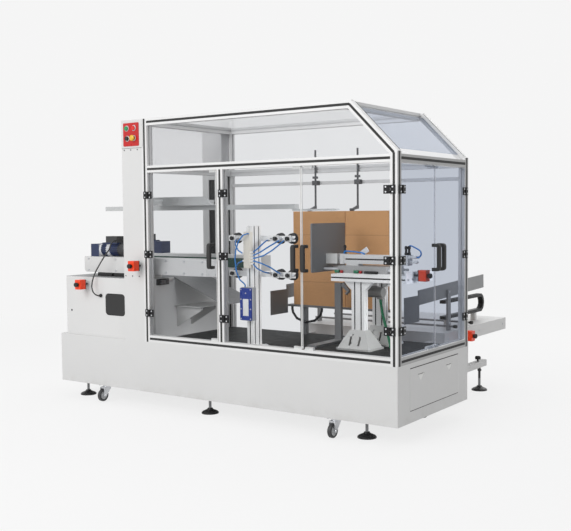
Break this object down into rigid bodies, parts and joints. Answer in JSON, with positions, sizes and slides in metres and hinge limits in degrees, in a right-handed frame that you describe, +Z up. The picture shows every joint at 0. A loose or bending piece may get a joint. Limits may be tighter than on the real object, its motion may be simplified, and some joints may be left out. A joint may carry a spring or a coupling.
{
  "type": "case_erector",
  "caption": "Case erector with a clear slotted-frame enclosure, hinged doors, pusher, suction unit, side belts and a blank magazine at the back",
  "frame": {"origin": "on the floor, under the middle of the machine's plan box", "axes": "+X along the base towards the sloping end, +Y to the magazine at the back, +Z up"},
  "size_m": [2.457, 1.933, 1.71],
  "materials": {
    "light_grey_paint": "satin light grey sheet-metal paint",
    "deck_steel": "dark grey coated steel plate",
    "black_rubber": "black rubber and black-coated feet",
    "caster_tread": "grey caster tyre",
    "zinc_steel": "zinc-plated steel",
    "red_panel": "red operator panel",
    "button_plastic": "moulded push-button heads",
    "black_plastic": "black moulded plastic",
    "anodised_profile": "clear anodised aluminium",
    "clear_acrylic": "clear acrylic sheet",
    "white_plastic": "white moulded catches",
    "belt_rubber": "dark drive belt",
    "motor_navy": "navy motor paint",
    "lead_sheath": "black cable sheath",
    "valve_blue": "blue valve block",
    "air_tube": "polyurethane air tube",
    "carton_brown": "brown corrugated board",
    "indicator_orange": "orange-red indicator housing"
  },
  "bodies": {
    "machine": {"base_cabinet": "light_grey_paint", "deck_plate": "deck_steel", "levelling_feet": "black_rubber", "caster_plates": "zinc_steel", "discharge_cabinet": "light_grey_paint", "flap_ramp": "deck_steel", "side_columns": "light_grey_paint", "operator_panel": "red_panel", "push_buttons": "button_plastic", "frame_posts": "anodised_profile", "long_rails": "anodised_profile", "cross_rails": "anodised_profile", "slope_rails": "anodised_profile", "clear_panels": "clear_acrylic", "end_wall": "light_grey_paint", "hinge_leaves": "black_plastic", "door_catches": "white_plastic", "belt_housings": "light_grey_paint", "side_belts": "belt_rubber", "drive_motors": "motor_navy", "motor_lead": "lead_sheath", "hold_down_beam": "anodised_profile", "suction_column": "anodised_profile", "suction_cups": "black_rubber", "valve_box": "valve_blue", "air_tubes": "air_tube", "pusher_stand": "anodised_profile", "pusher_cylinder": "anodised_profile", "sensor_post": "deck_steel", "hold_down_rods": "zinc_steel", "carton_blank": "carton_brown", "blank_ledge": "deck_steel", "magazine_tray": "light_grey_paint", "magazine_legs": "light_grey_paint", "side_guides": "deck_steel", "cable_chain": "black_plastic", "indicator_boxes": "indicator_orange"},
    "front_door_1_body": {"front_door_1": "clear_acrylic", "door_fittings_1": "black_plastic"},
    "front_door_2_body": {"front_door_2": "clear_acrylic", "door_fittings_2": "black_plastic"},
    "front_door_3_body": {"front_door_3": "clear_acrylic", "door_fittings_3": "black_plastic"},
    "end_door_1_body": {"end_door_1": "clear_acrylic", "door_fittings_4": "black_plastic"},
    "end_door_2_body": {"end_door_2": "clear_acrylic", "door_fittings_5": "black_plastic"},
    "caster_1": {"caster_fork_1": "zinc_steel"},
    "wheel_1": {"caster_wheel_1": "caster_tread"},
    "caster_2": {"caster_fork_2": "zinc_steel"},
    "wheel_2": {"caster_wheel_2": "caster_tread"},
    "caster_3": {"caster_fork_3": "zinc_steel"},
    "wheel_3": {"caster_wheel_3": "caster_tread"},
    "caster_4": {"caster_fork_4": "zinc_steel"},
    "wheel_4": {"caster_wheel_4": "caster_tread"},
    "knob_1": {"indicator_knob_1": "black_plastic"},
    "knob_2": {"indicator_knob_2": "black_plastic"},
    "knob_3": {"indicator_knob_3": "black_plastic"},
    "knob_4": {"indicator_knob_4": "black_plastic"},
    "pusher": {"pusher_head": "deck_steel"}
  },
  "joints": [
    {"name": "front_door_1_hinge", "type": "hinge", "parent": "machine", "child": "front_door_1_body", "pos_m": [-0.4505, -0.8745, 0.9205], "axis": [0, 0, -1], "range_deg": [0, 110]},
    {"name": "front_door_2_hinge", "type": "hinge", "parent": "machine", "child": "front_door_2_body", "pos_m": [0.1115, -0.8745, 0.9205], "axis": [0, 0, -1], "range_deg": [0, 110]},
    {"name": "front_door_3_hinge", "type": "hinge", "parent": "machine", "child": "front_door_3_body", "pos_m": [1.1435, -0.8745, 0.9205], "axis": [0, 0, 1], "range_deg": [0, 110]},
    {"name": "end_door_1_hinge", "type": "hinge", "parent": "machine", "child": "end_door_1_body", "pos_m": [1.1925, -0.8255, 0.9205], "axis": [0, 0, -1], "range_deg": [0, 110]},
    {"name": "end_door_2_hinge", "type": "hinge", "parent": "machine", "child": "end_door_2_body", "pos_m": [1.1925, -0.0865, 0.9205], "axis": [0, 0, 1], "range_deg": [0, 110]},
    {"name": "caster_swivel_1", "type": "hinge", "parent": "machine", "child": "caster_1", "pos_m": [-0.8715, -0.8225, 0.095], "axis": [0, 0, 1], "continuous": true},
    {"name": "caster_roll_1", "type": "hinge", "parent": "caster_1", "child": "wheel_1", "pos_m": [-0.8715, -0.8555, 0.0405], "axis": [1, 0, 0], "continuous": true},
    {"name": "caster_swivel_2", "type": "hinge", "parent": "machine", "child": "caster_2", "pos_m": [0.8035, -0.8225, 0.095], "axis": [0, 0, 1], "continuous": true},
    {"name": "caster_roll_2", "type": "hinge", "parent": "caster_2", "child": "wheel_2", "pos_m": [0.8035, -0.8555, 0.0405], "axis": [1, 0, 0], "continuous": true},
    {"name": "caster_swivel_3", "type": "hinge", "parent": "machine", "child": "caster_3", "pos_m": [-0.8715, -0.0895, 0.095], "axis": [0, 0, 1], "continuous": true},
    {"name": "caster_roll_3", "type": "hinge", "parent": "caster_3", "child": "wheel_3", "pos_m": [-0.8715, -0.1225, 0.0405], "axis": [1, 0, 0], "continuous": true},
    {"name": "caster_swivel_4", "type": "hinge", "parent": "machine", "child": "caster_4", "pos_m": [0.8035, -0.0895, 0.095], "axis": [0, 0, 1], "continuous": true},
    {"name": "caster_roll_4", "type": "hinge", "parent": "caster_4", "child": "wheel_4", "pos_m": [0.8035, -0.1225, 0.0405], "axis": [1, 0, 0], "continuous": true},
    {"name": "knob_turn_1", "type": "hinge", "parent": "machine", "child": "knob_1", "pos_m": [-0.5235, -0.9555, 0.853], "axis": [0, -1, 0], "continuous": true},
    {"name": "knob_turn_2", "type": "hinge", "parent": "machine", "child": "knob_2", "pos_m": [-0.9895, -0.9475, 0.726], "axis": [0, -1, 0], "continuous": true},
    {"name": "knob_turn_3", "type": "hinge", "parent": "machine", "child": "knob_3", "pos_m": [1.1395, -0.4245, 0.819], "axis": [1, 0, 0], "continuous": true},
    {"name": "knob_turn_4", "type": "hinge", "parent": "machine", "child": "knob_4", "pos_m": [1.0985, 0.26525, 0.4165], "axis": [1, 0, 0], "continuous": true},
    {"name": "pusher_stroke", "type": "slide", "parent": "machine", "child": "pusher", "axis": [-1, 0, 0], "range_m": [0, 0.3]}
  ]
}
